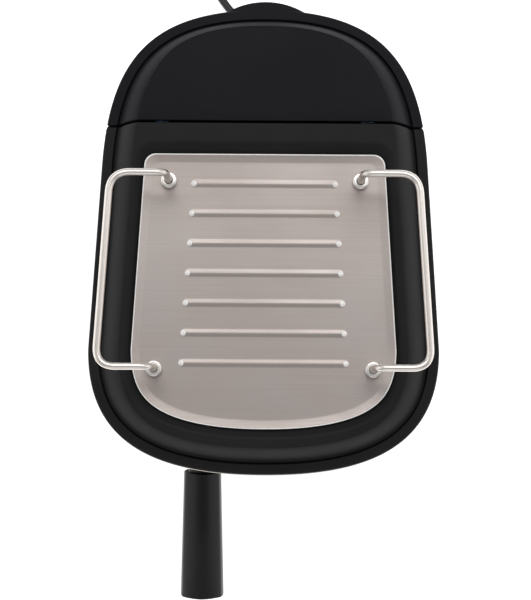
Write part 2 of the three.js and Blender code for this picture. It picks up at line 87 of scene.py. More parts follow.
# Rings of points joined by quads. A pole closes an end with a fan, and a loop joins the last ring to the
# first.
def skin(rings, startPole=None, endPole=None, loop=False):
    rings = np.asarray(rings, float)
    rowCount, ringCount = rings.shape[:2]
    index = np.arange(rowCount * ringCount).reshape(rowCount, ringCount)
    points = rings.reshape(-1, 3)
    rows = np.vstack([index, index[:1]]) if loop else index
    low, high = rows[:-1], rows[1:]
    quads = np.stack([low, np.roll(low, -1, 1), np.roll(high, -1, 1), high], -1).reshape(-1, 4)
    fans = [np.zeros((0, 3), int)]
    for pole, edge, sense in ((startPole, index[0], -1), (endPole, index[-1], 1)):
        if pole is not None:
            hub = np.full(ringCount, len(points))
            points = np.vstack([points, pole])
            fans.append(np.stack([edge, np.roll(edge, -1), hub][::sense], -1))
    fans = np.vstack(fans)
    corner = np.vstack([quads[:, :3], quads[:, [0, 2, 3]], fans])
    a, b, c = (points[corner[:, k]] for k in range(3))
    if np.einsum("ij,ij->", a, np.cross(b, c)) < 0:
        quads, fans = quads[:, ::-1], fans[:, ::-1]
    return points, quads, fans


# One object from several closed skins, with edges sharper than the crease angle left hard.
def makeMesh(name, skins, crease=38.0):
    points, faces, start = [], [], 0
    for skinPoints, quads, fans in skins:
        points.append(skinPoints)
        faces += (quads + start).tolist() + (fans + start).tolist()
        start += len(skinPoints)
    mesh = bpy.data.meshes.new(name)
    mesh.from_pydata((np.vstack(points) * metre).tolist(), [], faces)
    shadeSmooth(mesh, crease)
    piece = bpy.data.objects.new(name, mesh)
    bpy.context.scene.collection.objects.link(piece)
    return piece


def shadeSmooth(mesh, crease):
    mesh.polygons.foreach_set("use_smooth", np.ones(len(mesh.polygons), bool))
    mesh.set_sharp_from_angle(angle=math.radians(crease))
    mesh.update()


def place(piece, body, nodes, slot=None, material=None):
    slot = slot or slotOf[nodes[0]]
    piece.data.materials.clear()
    piece.data.materials.append(material or finishes[slot])
    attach(piece, body)
    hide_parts(*nodes)
    return piece


def build(name, skins, body, nodes, slot=None, material=None, crease=38.0):
    return place(makeMesh(name, skins, crease), body, nodes, slot, material)


# Cuts the other objects out of a piece, and rounds the edges that the cuts leave.
def carve(piece, cutters, edge=0.0, crease=38.0):
    for cutter in cutters:
        cut = piece.modifiers.new("cut", "BOOLEAN")
        cut.operation, cut.solver, cut.object = "DIFFERENCE", "EXACT", cutter
    if edge:
        bevel = piece.modifiers.new("edge", "BEVEL")
        bevel.width, bevel.segments, bevel.angle_limit = edge * metre, 2, math.radians(50)
        bevel.use_clamp_overlap = True
    graph = bpy.context.evaluated_depsgraph_get()
    carved = bpy.data.meshes.new_from_object(piece.evaluated_get(graph))
    piece.modifiers.clear()
    piece.data = carved
    shadeSmooth(carved, crease)
    for cutter in cutters:
        bpy.data.objects.remove(cutter)
    return piece


# Equal steps along a line of points.
def evenly(line, count):
    steps = np.r_[0, np.cumsum(np.linalg.norm(np.diff(line, axis=0), axis=1))]
    at = np.linspace(0, steps[-1], count)
    return np.stack([np.interp(at, steps, line[:, k]) for k in range(line.shape[1])], -1)


# Each span is the cubic whose slope at its ends is half the chord between the points on either side.
def smoothLine(points, perSpan):
    p = np.asarray(points, float)
    p = np.vstack([2 * p[0] - p[1], p, 2 * p[-1] - p[-2]])
    a, b, c, d = (p[i:len(p) - 3 + i][:, None] for i in range(4))
    t = np.linspace(0, 1, perSpan, endpoint=False)[None, :, None]
    q = 0.5 * (2 * b + (c - a) * t + (2 * a - 5 * b + 4 * c - d) * t**2 + (3 * b - a - 3 * c + d) * t**3)
    return np.vstack([q.reshape(-1, p.shape[1]), p[-2]])


# A line with each corner replaced by the parabola that starts and ends a reach away from it.
def softened(points, reach, steps=5):
    points = [np.asarray(p, float) for p in points]
    reaches = np.broadcast_to(reach, len(points))
    t = np.linspace(0, 1, steps)[:, None]
    line = [points[0][None]]
    for before, corner, after, far in zip(points, points[1:], points[2:], reaches[1:]):
        enter, leave = before - corner, after - corner
        a = corner + unit(enter) * min(far, 0.48 * np.linalg.norm(enter))
        b = corner + unit(leave) * min(far, 0.48 * np.linalg.norm(leave))
        line.append(a * (1 - t)**2 + corner * 2 * t * (1 - t) + b * t**2)
    return np.vstack(line + [points[-1][None]])


# Circles of the given radius, square to the path at each of its points.
def swept(path, radius, sides=24, reference=(0.31, 0.5, 0.81)):
    run = unit(np.gradient(path, axis=0))
    side = unit(np.cross(run, reference))
    rise = np.cross(side, run)
    angle = np.linspace(0, 2 * math.pi, sides, endpoint=False)[None, :, None]
    across = np.broadcast_to(radius, len(path))[:, None, None]
    return path[:, None] + across * (np.cos(angle) * side[:, None] + np.sin(angle) * rise[:, None])


def sweptSkin(path, radius, sides=24):
    return skin(swept(path, radius, sides), path[0], path[-1])


# A profile of (radius, height) turned about an axis; a ripple scales each radius by angle.
# A profile that starts and ends on the axis gets poles there, and any other is a closed ring.
def turned(profile, origin=(0, 0, 0), axis=(0, 0, 1), sides=64, ripple=None):
    profile, origin, axis = np.asarray(profile, float), np.asarray(origin, float), unit(axis)
    solid = profile[0, 0] < 1e-6
    rows = profile[1:-1] if solid else profile
    side = unit(np.cross(axis, (0.21, 0.97, 0.1)))
    rise = np.cross(axis, side)
    angle = np.linspace(0, 2 * math.pi, sides, endpoint=False)
    spread = np.cos(angle)[:, None] * side + np.sin(angle)[:, None] * rise
    radii = rows[:, :1] * np.ones(sides)
    if ripple is not None:
        radii = ripple(radii, angle, rows[:, 1:])
    rings = origin + rows[:, None, 1:] * axis + radii[..., None] * spread
    if solid:
        return skin(rings, origin + profile[0, 1] * axis, origin + profile[-1, 1] * axis)
    return skin(rings, loop=True)


def boxSkin(low, high):
    (x0, y0, z0), (x1, y1, z1) = low, high
    ring = np.array([(x0, y0), (x1, y0), (x1, y1), (x0, y1)])
    rings = [np.c_[ring, np.full(4, z)] for z in (z0, z1)]
    centre = ((x0 + x1) / 2, (y0 + y1) / 2)
    return skin(rings, (*centre, z0), (*centre, z1))


# Shader node groups

def openGroup(name, inputs, outputs):
    group = bpy.data.node_groups.new(name, "ShaderNodeTree")
    for socketName, kind, value in inputs:
        socket = group.interface.new_socket(socketName, in_out="INPUT", socket_type="NodeSocket" + kind)
        socket.default_value = value
    for socketName, kind in outputs:
        group.interface.new_socket(socketName, in_out="OUTPUT", socket_type="NodeSocket" + kind)
    source, sink = group.nodes.new("NodeGroupInput"), group.nodes.new("NodeGroupOutput")
    return group, source.outputs, sink.inputs


# A node with its settings and input values. A value that is another node's output gets linked.
def addNode(tree, kind, values=None, **settings):
    node = tree.nodes.new(kind)
    for key, value in settings.items():
        setattr(node, key, value)
    for key, value in (values or {}).items():
        if isinstance(value, bpy.types.NodeSocket):
            tree.links.new(value, node.inputs[key])
        else:
            node.inputs[key].default_value = value
    return node


def useGroup(tree, group, values):
    return addNode(tree, "ShaderNodeGroup", values, node_tree=group).outputs


def maths(tree, operation, first, second):
    return addNode(tree, "ShaderNodeMath", {0: first, 1: second}, operation=operation).outputs[0]


def weighted(tree, first, share, second, otherShare):
    parts = [maths(tree, "MULTIPLY", *pair) for pair in ((first, share), (second, otherShare))]
    return maths(tree, "ADD", *parts)


def noise(tree, where, scale, detail):
    values = {"Vector": where, "Scale": scale, "Detail": detail}
    return addNode(tree, "ShaderNodeTexNoise", values).outputs[0]


def rangeTo(tree, value, low, high, start=0.0, end=1.0):
    values = {"Value": value, "From Min": start, "From Max": end, "To Min": low, "To Max": high}
    return addNode(tree, "ShaderNodeMapRange", values, clamp=True).outputs[0]


def blend(tree, factor, first, second):
    return addNode(tree, "ShaderNodeMix", {0: factor, 6: first, 7: second}, data_type="RGBA").outputs[2]


def colourSocket(name, value):
    return (name, "Color", (*value, 1.0))


surfaceOutputs = [("Colour", "Color"), ("Roughness", "Float"), ("Height", "Float")]


# Colour by the tint, gloss shifted by its spread as the pattern runs from 0 to 1, and height.
def finishGroup(group, given, made, tint, otherTone, pattern, height):
    shift = maths(group, "MULTIPLY", maths(group, "SUBTRACT", pattern, 0.5), given["Gloss spread"])
    group.links.new(blend(group, tint, given["Tone"], given[otherTone]), made["Colour"])
    group.links.new(maths(group, "ADD", given["Gloss"], shift), made["Roughness"])
    group.links.new(height, made["Height"])
    return group


# Moulded plastic: a fine grain lifts the surface, and slow clouds move the tone and the gloss.
def makeMouldedGroup():
    group, given, made = openGroup(
        "moulded surface",
        [colourSocket("Tone", (0.02,) * 3), colourSocket("Cloud tone", (0.03,) * 3), ("Gloss", "Float", 0.4),
         ("Gloss spread", "Float", 0.1), ("Grain size", "Float", 0.6)], surfaceOutputs)
    where = addNode(group, "ShaderNodeTexCoord").outputs["Object"]
    grain = noise(group, where, maths(group, "DIVIDE", 1000.0, given["Grain size"]), 3.0)
    cloud = rangeTo(group, noise(group, where, 22.0, 4.0), 0.0, 1.0, 0.35, 0.68)
    pattern = weighted(group, cloud, 0.6, noise(group, where, 70.0, 2.0), 0.4)
    return finishGroup(group, given, made, cloud, "Cloud tone", pattern, grain)


# Brushed metal: noise stretched along one direction gives scratches in tone, gloss and height,
# and slow patches move the tone and the gloss.
def makeBrushedGroup():
    group, given, made = openGroup(
        "brushed surface",
        [colourSocket("Tone", (0.6,) * 3), colourSocket("Scratch tone", (0.5,) * 3), ("Gloss", "Float", 0.3),
         ("Gloss spread", "Float", 0.1), ("Stretch", "Vector", (20.0, 1600.0, 1600.0))], surfaceOutputs)
    where = addNode(group, "ShaderNodeTexCoord").outputs["Object"]
    stretched = addNode(group, "ShaderNodeVectorMath", {0: where, 1: given["Stretch"]}, operation="MULTIPLY")
    lines = noise(group, stretched.outputs[0], 1.0, 3.0)
    scratch = rangeTo(group, lines, 0.0, 1.0, 0.3, 0.7)
    patch = rangeTo(group, noise(group, where, 14.0, 3.0), 0.0, 1.0, 0.4, 0.62)
    tint = weighted(group, scratch, 0.6, patch, 0.7)
    pattern = weighted(group, scratch, 0.5, patch, 0.5)
    return finishGroup(group, given, made, tint, "Scratch tone", pattern, lines)


# Settled dust: sparse specks and a thin veil, only where the surface faces up.
def makeDustGroup():
    group, given, made = openGroup(
        "settled dust",
        [colourSocket("Clean colour", (0.02,) * 3), colourSocket("Dust colour", (0.3, 0.29, 0.27)),
         ("Amount", "Float", 0.1)], [("Colour", "Color")])
    where = addNode(group, "ShaderNodeTexCoord").outputs["Object"]
    normal = addNode(group, "ShaderNodeNewGeometry").outputs["Normal"]
    facing = addNode(group, "ShaderNodeSeparateXYZ", {0: normal}).outputs[2]
    up = rangeTo(group, facing, 0.0, 1.0, 0.3, 0.95)
    specks = rangeTo(group, noise(group, where, 900.0, 1.0), 0.0, 1.0, 0.70, 0.80)
    veil = rangeTo(group, noise(group, where, 35.0, 5.0), 0.0, 0.25, 0.4, 0.8)
    cover = maths(group, "MULTIPLY", maths(group, "ADD", specks, veil), given["Amount"])
    mask = maths(group, "MULTIPLY", cover, up)
    group.links.new(blend(group, mask, given["Clean colour"], given["Dust colour"]), made["Colour"])
    return group


mouldedGroup, brushedGroup, dustGroup = makeMouldedGroup(), makeBrushedGroup(), makeDustGroup()


# Materials

def openMaterial(name):
    material = bpy.data.materials.new(name)
    material.use_nodes = True
    tree = material.node_tree
    tree.nodes.clear()
    shader = addNode(tree, "ShaderNodeBsdfPrincipled")
    addNode(tree, "ShaderNodeOutputMaterial", {"Surface": shader.outputs[0]})
    return material, tree, shader


# Feeds a surface's colour, gloss and height into the shader, and sets the shader's plain values.
def dress(tree, shader, colour, surface, depth, plainValues):
    values = {"Height": surface["Height"], "Strength": 0.6, "Distance": depth * metre}
    normal = addNode(tree, "ShaderNodeBump", values).outputs[0]
    for key, value in {"Base Color": colour, "Roughness": surface["Roughness"], "Normal": normal}.items():
        tree.links.new(value, shader.inputs[key])
    for key, value in plainValues.items():
        shader.inputs[key].default_value = value


def plastic(name, tone, gloss, cloudTone=None, spread=0.12, grain=0.6, depth=0.02, dust=0.0, **plainValues):
    material, tree, shader = openMaterial(name)
    cloudTone = cloudTone or tuple(min(1.0, 1.35 * c + 0.002) for c in tone)
    surface = useGroup(tree, mouldedGroup,
                       {"Tone": (*tone, 1), "Cloud tone": (*cloudTone, 1), "Gloss": gloss,
                        "Gloss spread": spread, "Grain size": grain})
    colour = surface["Colour"]
    if dust:
        colour = useGroup(tree, dustGroup, {"Clean colour": colour, "Amount": dust})["Colour"]
    dress(tree, shader, colour, surface, depth, plainValues)
    return material


def metal(name, tone, gloss, scratchTone=None, spread=0.12, stretch=(20, 1600, 1600), depth=0.004,
          anisotropy=0.0, metallic=1.0):
    material, tree, shader = openMaterial(name)
    scratchTone = scratchTone or tuple(0.86 * c for c in tone)
    surface = useGroup(tree, brushedGroup, {
        "Tone": (*tone, 1), "Scratch tone": (*scratchTone, 1), "Gloss": gloss, "Gloss spread": spread,
        "Stretch": stretch})
    dress(tree, shader, surface["Colour"], surface, depth, {"Metallic": metallic, "Anisotropic": anisotropy})
    if anisotropy:
        tangent = addNode(tree, "ShaderNodeTangent", direction_type="UV_MAP", uv_map="grain")
        tree.links.new(tangent.outputs[0], shader.inputs["Tangent"])
    return material


soft = {"Specular IOR Level": 0.19}  # mouldings whose sheen is low


def makeFinishes():
    even = (900, 900, 900)
    finishes.update(
        black_housing=plastic("black housing", (0.0076, 0.0071, 0.0073), 0.6, grain=0.7, depth=0.012,
                              dust=0.01, **soft),
        dark_fittings=plastic("dark fittings", (0.012, 0.012, 0.013), 0.6, grain=0.9, depth=0.03),
        control_black=plastic("control black", (0.01, 0.01, 0.011), 0.33, grain=0.5, depth=0.008),
        grip_black=plastic("grip black", (0.0072, 0.0066, 0.0066), 0.36, grain=1.1, depth=0.012, dust=0.006,
                           **{"Specular IOR Level": 0.3}),
        rubber_parts=plastic("rubber parts", (0.012, 0.012, 0.012), 0.8, grain=0.4, depth=0.03),
        lead_black=plastic("lead black", (0.011, 0.011, 0.011), 0.5, grain=0.8, depth=0.02, dust=0.02),
        brushed_steel_sheet=metal("brushed steel sheet", (0.66, 0.605, 0.56), 0.34, stretch=(14, 1500, 1500)),
        rail_chrome=metal("rail steel", (0.88, 0.82, 0.77), 0.34, (0.84, 0.78, 0.73), stretch=even,
                          depth=0.0004, spread=0.04),
        brew_chrome=metal("brew chrome", (0.78, 0.78, 0.78), 0.09, stretch=even, depth=0.001, spread=0.06),
        plain_steel=metal("plain steel", (0.60, 0.59, 0.58), 0.28, stretch=(900, 900, 30), depth=0.003),
        cast_aluminium=metal("cast aluminium", (0.50, 0.51, 0.52), 0.46, stretch=even, depth=0.05,
                             spread=0.2),
        valve_brass=metal("valve brass", (0.58, 0.42, 0.19), 0.3, stretch=(900, 900, 2500), depth=0.006),
        smoked_tank=plastic(
            "smoked tank", (0.30, 0.38, 0.47), 0.07, (0.27, 0.35, 0.44), spread=0.05, grain=3.0, depth=0.01,
            **{"Transmission Weight": 0.9, "IOR": 1.49}),
        hose_white=plastic("hose silicone", (0.70, 0.71, 0.70), 0.45, (0.64, 0.65, 0.63), grain=1.5,
                           depth=0.01),
        board_green=plastic("board lacquer", (0.03, 0.16, 0.07), 0.35, (0.02, 0.11, 0.05), grain=2.0,
                            depth=0.02),
        float_red=plastic("float red", (0.45, 0.015, 0.02), 0.35, (0.38, 0.01, 0.015), grain=0.8, depth=0.01),
        lamp_red=plastic("lamp red", (0.45, 0.02, 0.02), 0.15, (0.35, 0.01, 0.01), grain=2.0, depth=0.01),
        lamp_amber=plastic("lamp amber", (0.65, 0.28, 0.03), 0.15, (0.55, 0.22, 0.02), grain=2.0, depth=0.01),
        lid_black=plastic("lid black", (0.0055, 0.0053, 0.0078), 0.6, grain=0.7, depth=0.012, dust=0.008,
                          **{"Specular IOR Level": 0.13}),
        tray_steel=metal("brushed tray steel", (0.485, 0.437, 0.414), 0.4, (0.43, 0.376, 0.35),
                         stretch=(12, 2200, 2200), depth=0.002, anisotropy=0.55),
        # Painted highlight: a near-white, partly metallic finish that paints the side lights' bright
        # highlights onto the tray's rib ends and edge bead
        rib_end=metal("rib end and edge painted highlight", (0.97, 0.95, 0.93), 0.42, (0.95, 0.93, 0.91), stretch=even,
                      depth=0.0002, spread=0.04, metallic=0.3),
        ferrule=metal("ferrule steel", (0.95, 0.92, 0.89), 0.3, (0.93, 0.90, 0.87), stretch=even,
                      depth=0.0005, spread=0.04),
    )


makeFinishes()
print("materials made:", len(finishes))


# Mains lead: relief, free run, put-away coil and plug

lead = dict(
    radius=2.7, reliefStart=167.1, reliefEnd=195.0,
    route=[(0, 195.7, 13), (-0.2, 199.4, 12.6), (-1.9, 205.2, 10), (-5.2, 211, 6.4), (-9.4, 216.2, 4),
           (-14.4, 220.8, 3), (-19.2, 224.7, 2.8), (-23.2, 228, 2.8), (-26.7, 231.4, 2.8),
           (-29.8, 235.4, 2.8), (-32.6, 239.3, 2.8), (-36, 244, 2.8)],
    coilCentre=(-26.0, 281.0), outer=32.7, inner=27.3, low=2.8, high=8.2, perTurn=24,
    turned=1245, entry=34, inward=(335, 400), climb=(650, 722), outward=(950, 1015))  # in degrees turned


# Radius and height of the coil against the angle turned, by smooth steps between its four turns:
# low outside, low inside, high inside, high outside.
def coilPoints(settings):
    entry = np.array(settings["route"][-1][:2]) - settings["coilCentre"]
    startAngle = math.atan2(entry[1], entry[0])
    total = math.radians(settings["turned"])
    turnedBy = np.linspace(0, total, int(total / (2 * math.pi) * settings["perTurn"]) + 1)[1:]
    share = lambda start, end: np.clip((np.degrees(turnedBy) - start) / (end - start), 0, 1)
    step = lambda name: share(*settings[name])**2 * (3 - 2 * share(*settings[name]))
    outer, inner = settings["outer"], settings["inner"]
    entryShare = (1 - share(0, settings["entry"]))**2
    radius = outer + (np.linalg.norm(entry) - outer) * entryShare
    radius += (inner - outer) * (step("inward") - step("outward"))
    height = settings["low"] + (settings["high"] - settings["low"]) * step("climb")
    angle = startAngle - turnedBy
    flat = settings["coilCentre"] + radius[:, None] * np.stack([np.cos(angle), np.sin(angle)], -1)
    return np.c_[flat, height]


def makeLead(settings):
    plugLow, plugHigh = corners("power_plug")
    plugY, plugZ = (plugLow[1] + plugHigh[1]) / 2, (plugLow[2] + plugHigh[2]) / 2
    first = [(0, y, 13) for y in (settings["reliefStart"] + 3, 177, 184, 190)]
    coil = coilPoints(settings)
    leave = coil[-1, 1] - plugY
    last = [(plugLow[0] + x, plugY + share * leave, plugZ) for x, share in
            ((-18, 0.93), (-11, 0.62), (-4.5, 0.2), (1.0, 0.02), (8.0, 0.0))]
    path = smoothLine(first + settings["route"] + coil.tolist() + last, 5)
    ends = (1 - 0.12 * (np.arange(len(path)) == 0)) * settings["radius"]
    sweep = sweptSkin(path, ends, 16)
    tube = build("mains_lead", [sweep], "housing", ["power_cord", "cord_coil"], "lead_black")

    start, end = settings["reliefStart"], settings["reliefEnd"]
    ribs = [(5.0 - 0.09 * (k // 2) + (0 if k % 2 else -0.55), 3.6 + 1.5 * k) for k in range(11)]
    profile = [(0, 0), (6.1, 0), (6.2, 0.6), (6.2, 2.6), (5.4, 3.1)] + ribs + [
        (4.1, 20.4), (3.6, 26.4), (3.4, 27.4), (2.75, end - start), (0, end - start)]
    relief = turned(profile, (0, start, 13), (0, 1, 0), 32)
    relief = build("lead_relief", [relief], "housing", ["strain_relief"])
    plug = makePlug(plugLow, plugHigh, plugY, plugZ)


plugShape = dict(
    length=56, pinSeat=53, pinShifts=(-9.5, 0, 9.5),
    stations=[  # distance from the tail's end, half width, half height, exponent
        (0, 2.9, 2.9, 2), (0.5, 3.3, 3.3, 2), (8, 3.7, 3.7, 2), (17, 4.5, 4.4, 2), (20, 5.0, 4.8, 2.1),
        (22.5, 7.4, 6.0, 2.4), (25, 10.0, 7.0, 2.8), (28, 12.4, 7.6, 3.2), (32, 13.7, 7.95, 3.6),
        (36, 14, 8, 4), (44, 13.3, 7.6, 4), (49, 13.4, 7.6, 4), (51, 14, 8, 4), (54.6, 14, 8, 4),
        (55.6, 13.6, 7.7, 4), (56, 12.9, 7.1, 4)])


# The plug's section is |across/a|^n + |up/b|^n = 1, with a, b and n set along its length.
def makePlug(low, high, y, z):
    length, seat, stations = plugShape["length"], plugShape["pinSeat"], np.array(plugShape["stations"])
    fine = np.linspace(0, length, 70)
    a, b, n = (np.interp(fine, stations[:, 0], stations[:, k])[:, None] for k in (1, 2, 3))
    angle = np.linspace(0, 2 * math.pi, 48, endpoint=False)[None]
    across = a * np.sign(np.cos(angle)) * np.abs(np.cos(angle))**(2 / n)
    up = b * np.sign(np.sin(angle)) * np.abs(np.sin(angle))**(2 / n)
    rings = np.stack([low[0] + fine[:, None] + 0 * across, y + across, z + up], -1)
    body = skin(rings, (low[0], y, z), (low[0] + length, y, z))
    plug = build("mains_plug", [body], "housing", ["power_plug"])
    end = high[0] - low[0] - seat
    profile = [(0, 0), (2.15, 0), (2.2, 0.3), (2.2, end - 2), (1.9, end - 0.7), (1.1, end - 0.1), (0, end)]
    pins = makeMesh("plug_pins", [
        turned(profile, (low[0] + seat, y + shift, z), (1, 0, 0), 24) for shift in plugShape["pinShifts"]])
    pins.data.materials.append(finishes["brew_chrome"])
    pins.parent = plug
    return plug


makeLead(lead)
print("lead and plug made")


# Plan of the rim

coverLow, coverHigh = corners("top_cover")
tankLow, tankHigh = corners("water_tank")
plan = dict(
    frontY=coverLow[1], halfWidth=coverHigh[0], rearY=tankHigh[1] + 4.2, widestY=-26.0, sideTaper=0.0612,
    sideEndY=80.0, frontReach=64.0, frontPull=-78.0, rearLift=60.0, rearReach=68.0)
rimUnder, crestZ = coverLow[2], coverHigh[2]
coverBack, lidFront = coverHigh[1], corners("tank_lid")[0][1]
rearMiddle = 137.0  # a place well inside the plan of the lid and the tank


def bezier(points, count):
    p0, p1, p2, p3 = (np.array(p, float) for p in points)
    t = np.linspace(0, 1, count)[:, None]
    return p0 * (1 - t)**3 + 3 * p1 * t * (1 - t)**2 + 3 * p2 * t**2 * (1 - t) + p3 * t**3


# Right half of the rim from the front's middle to the rear's middle: curve, tapering side, curve.
def rimLine(p):
    sideX = lambda y: p["halfWidth"] - p["sideTaper"] * (y - p["widestY"])
    front = bezier([(0, p["frontY"]), (p["frontReach"], p["frontY"]), (p["halfWidth"], p["frontPull"]),
                    (p["halfWidth"], p["widestY"])], 160)
    y = np.linspace(p["widestY"], p["sideEndY"], 60)
    side = np.stack([sideX(y), y], -1)
    lifted = p["sideEndY"] + p["rearLift"]
    rear = bezier([side[-1], (sideX(lifted), lifted), (p["rearReach"], p["rearY"]), (0, p["rearY"])], 160)
    return evenly(np.vstack([front, side[1:], rear[1:]]), 700)


rim = rimLine(plan)
rimRun = unit(np.gradient(rim, axis=0))
rimInward = np.stack([-rimRun[:, 1], rimRun[:, 0]], -1)
counts = dict(side=110, corner=7, line=36)


def insetLine(distance):
    return rim + rimInward * np.broadcast_to(distance, len(rim))[:, None]


def cornerCurve(start, corner, end):
    pull = 0.56
    return bezier([start, start + (corner - start) * pull, end + (corner - end) * pull, end],
                  counts["corner"] + 2)


def closeHalf(half, z):
    left = half[1:-1][::-1] * (-1, 1)
    ring = np.vstack([half, left])
    return np.c_[ring, np.full(len(ring), z)]


# The rim's front part, inset, closed by a straight back with round corners.
def frontRing(distance, z, backY, corner):
    line = insetLine(distance)
    atY = lambda y: np.array((np.interp(y, line[:, 1], line[:, 0]), y))
    start, point = atY(backY - corner), atY(backY)
    end = point - (corner, 0)
    side = evenly(np.vstack([line[line[:, 1] < start[1]], start]), counts["side"])
    back = np.linspace(end, (0, backY), counts["line"])
    return closeHalf(np.vstack([side[:-1], cornerCurve(start, point, end)[:-1], back]), z)


hinge = dict(x=58.3, slotHalf=4.4, slotBack=108.6, roof=263.1, pivotY=104.8, pivotZ=262.0, headRadius=1.1,
             guideFront=101.75, guideTop=258.8, postBack=106.4, half=4.0, endInset=0.018,
             pinRadius=1.0, pinHalf=6.6)
tab = dict(centreY=132.9, radius=43.0)


# The rim's rear part, inset, closed by a straight front, which may be notched for the hinges.
# The finger tab pushes the rear's middle out to a circle.
def rearRing(distance, z, frontY, corner, notched=0.0, tabShare=0.0):
    line = insetLine(distance)
    atY = lambda y: np.array((np.interp(y, line[:, 1], line[:, 0]), y))
    end, point = atY(frontY + corner), atY(frontY)
    start = point - (corner, 0)
    inner, outer = hinge["x"] - hinge["slotHalf"], hinge["x"] + hinge["slotHalf"]
    spare = 0.6 * (1 - notched)
    depth = (hinge["slotBack"] - frontY) * notched
    x = np.r_[np.linspace(0, inner - spare, 22), np.linspace(inner, outer, 6),
              np.linspace(outer + spare, start[0], 8)]
    y = frontY + depth * np.r_[np.zeros(22), np.ones(6), np.zeros(8)]
    side = evenly(np.vstack([end, line[line[:, 1] > end[1]]]), counts["side"])
    if tabShare:
        reach = np.clip(tab["radius"]**2 - side[:, 0]**2, 0, None)
        push = np.clip(tab["centreY"] + np.sqrt(reach) - side[:, 1], 0, None)
        side[:, 1] += push * tabShare * (side[:, 0] < 24)
    front = np.stack([x, y], -1)
    return closeHalf(np.vstack([front[:-1], cornerCurve(start, point, end)[:-1], side]), z)


# Cover and lid: one profile of rim, groove, bead and dome

shell = dict(
    rimHeight=10.0, footInset=7.9, footRise=11.0, crestSide=19.3, crestFront=15.6, crestBack=14.0,
    domePower=1.28, domeSteps=18, seamEdge=0.5, tongue=1.1)
crestInset = np.where(rim[:, 1] < 20, shell["crestFront"], shell["crestBack"])
sideness = np.abs(rimInward[:, 0])**2
crestInset = crestInset + (shell["crestSide"] - crestInset) * sideness
rimTop = rimUnder + shell["rimHeight"]
rimProfile = [(1.5, -10), (0.5, -9.75), (0.05, -9.0), (0, -8.0), (0, -3.2), (0, -2.2), (0, -1.6), (0.2, -0.8),
              (0.75, -0.2), (1.3, 0), (1.8, 0.05), (4.2, 0.1), (4.7, 0.2), (5.2, 0.42), (5.6, 0.5),
              (5.9, 0.4), (6.15, 0.05), (6.35, -0.5), (6.6, -0.9), (6.85, -0.5), (7.0, 0.1), (7.2, 0.6),
              (7.9, 1.0)]


# Dome between its foot and its crest: |across|^n + |up|^n = 1 in units of its own width and height.
def domeRows():
    foot, height = shell["footInset"], crestZ - rimUnder - shell["footRise"]
    rows = []
    for turn in np.linspace(0, math.pi / 2, shell["domeSteps"])[1:]:
        across, up = math.cos(turn)**(2 / shell["domePower"]), math.sin(turn)**(2 / shell["domePower"])
        rows.append((crestInset - (crestInset - foot) * across, rimUnder + shell["footRise"] + height * up))
    return rows


recess = dict(edgeInset=21.0, edgeBack=90.0, edgeCorner=9.5, floorInset=25.4, floorBack=84.1, floorCorner=6.5,
              floorZ=corners("cup_tray")[0][2] - 0.3)


def makeCover():
    inner = [(17, -0.4), (13.4, -1.8), (10.5, -5.5), (9.6, -9.5), (9.6, -17.5), (9.4, -18)]
    rows = [frontRing(d, rimTop + 12 + z, coverBack - 3, 3) for d, z in inner]
    tongue = lambda z: shell["tongue"] if z < -3 else 0
    rows += [frontRing(d, rimTop + z, coverBack + tongue(z), 0.9) for d, z in rimProfile]
    rows += [frontRing(d, z, coverBack, 0.9) for d, z in domeRows()[:-2]]
    for (d, z), share in zip(domeRows()[-2:], (0.3, 1.0)):
        rows.append(frontRing(d, z, coverBack - share * shell["seamEdge"], 1.0))
    crest = rows[-1]
    edge = frontRing(recess["edgeInset"] - 1.2, crestZ, recess["edgeBack"] + 1.2, recess["edgeCorner"] + 1)
    for share in (0.04, 0.3, 0.6, 0.9, 1.0):
        rows.append(crest * (1 - share) + edge * share)
    for share, drop in ((0.0, 0.12), (0.1, 0.4), (0.22, 0.85), (0.9, 3.25), (0.97, 3.4), (1.1, 3.5)):
        depth = {key: recess["edge" + key] + (recess["floor" + key] - recess["edge" + key]) * share
                 for key in ("Inset", "Back", "Corner")}
        z = crestZ - drop / 3.5 * (crestZ - recess["floorZ"])
        rows.append(frontRing(depth["Inset"], z, depth["Back"], depth["Corner"]))
    rows.append(frontRing(34, recess["floorZ"], 74, 6))
    whole = skin(rows, (0, 0, rimTop + 11.6), (0, 0, recess["floorZ"]))
    return build("cover_skin", [whole], "housing", ["top_cover"], crease=50)


def makeLid():
    centre = np.array((0, rearMiddle, 0))
    inner = [(17, 2.8), (13.2, -1.8), (10.5, -6), (9.6, -10), (9.6, -17.5), (9.4, -18)]
    rows = [rearRing(d, rimTop + 12 + z, 111.5, 3) for d, z in inner]
    tabShares = [0.8, 0.95, 1, 1, 1, 0.97]  # of the finger tab's reach, for the rim's lowest rows
    shares = tabShares + [0.0] * (len(rimProfile) - len(tabShares))
    rows += [rearRing(d, rimTop + z, lidFront, 0.9, 1.0, s) for (d, z), s in zip(rimProfile, shares)]
    slotted = [(d, z) for d, z in domeRows() if z < hinge["roof"]]
    covered = [(d, z) for d, z in domeRows() if z >= hinge["roof"]]
    rows += [rearRing(d, z, lidFront, 0.9, 1.0) for d, z in slotted]
    rows += [rearRing(covered[0][0], covered[0][1] - 0.04, lidFront, 0.9, 1.0)]
    for (d, z), share in zip(covered, np.linspace(0, 1, len(covered))**2):
        rows.append(rearRing(d, z, lidFront + share * shell["seamEdge"], 1.0))
    rows.append(rearRing(crestInset + 4, crestZ, hinge["slotBack"] + 1.2, 2.0))
    top = rows[-1]
    for share in (0.15, 0.35, 0.6, 0.85):
        ring = top * (1 - share) + centre * share
        ring[:, 2] = crestZ + 0.5 * (1 - (1 - share)**2)
        rows.append(ring)
    whole = skin(rows, (0, rearMiddle, rimTop + 14.8), (0, rearMiddle, crestZ + 0.5))
    return build("lid_skin", [whole], "lid", ["tank_lid"], material=finishes["lid_black"], crease=50)


makeCover()
makeLid()
print("cover and lid made")


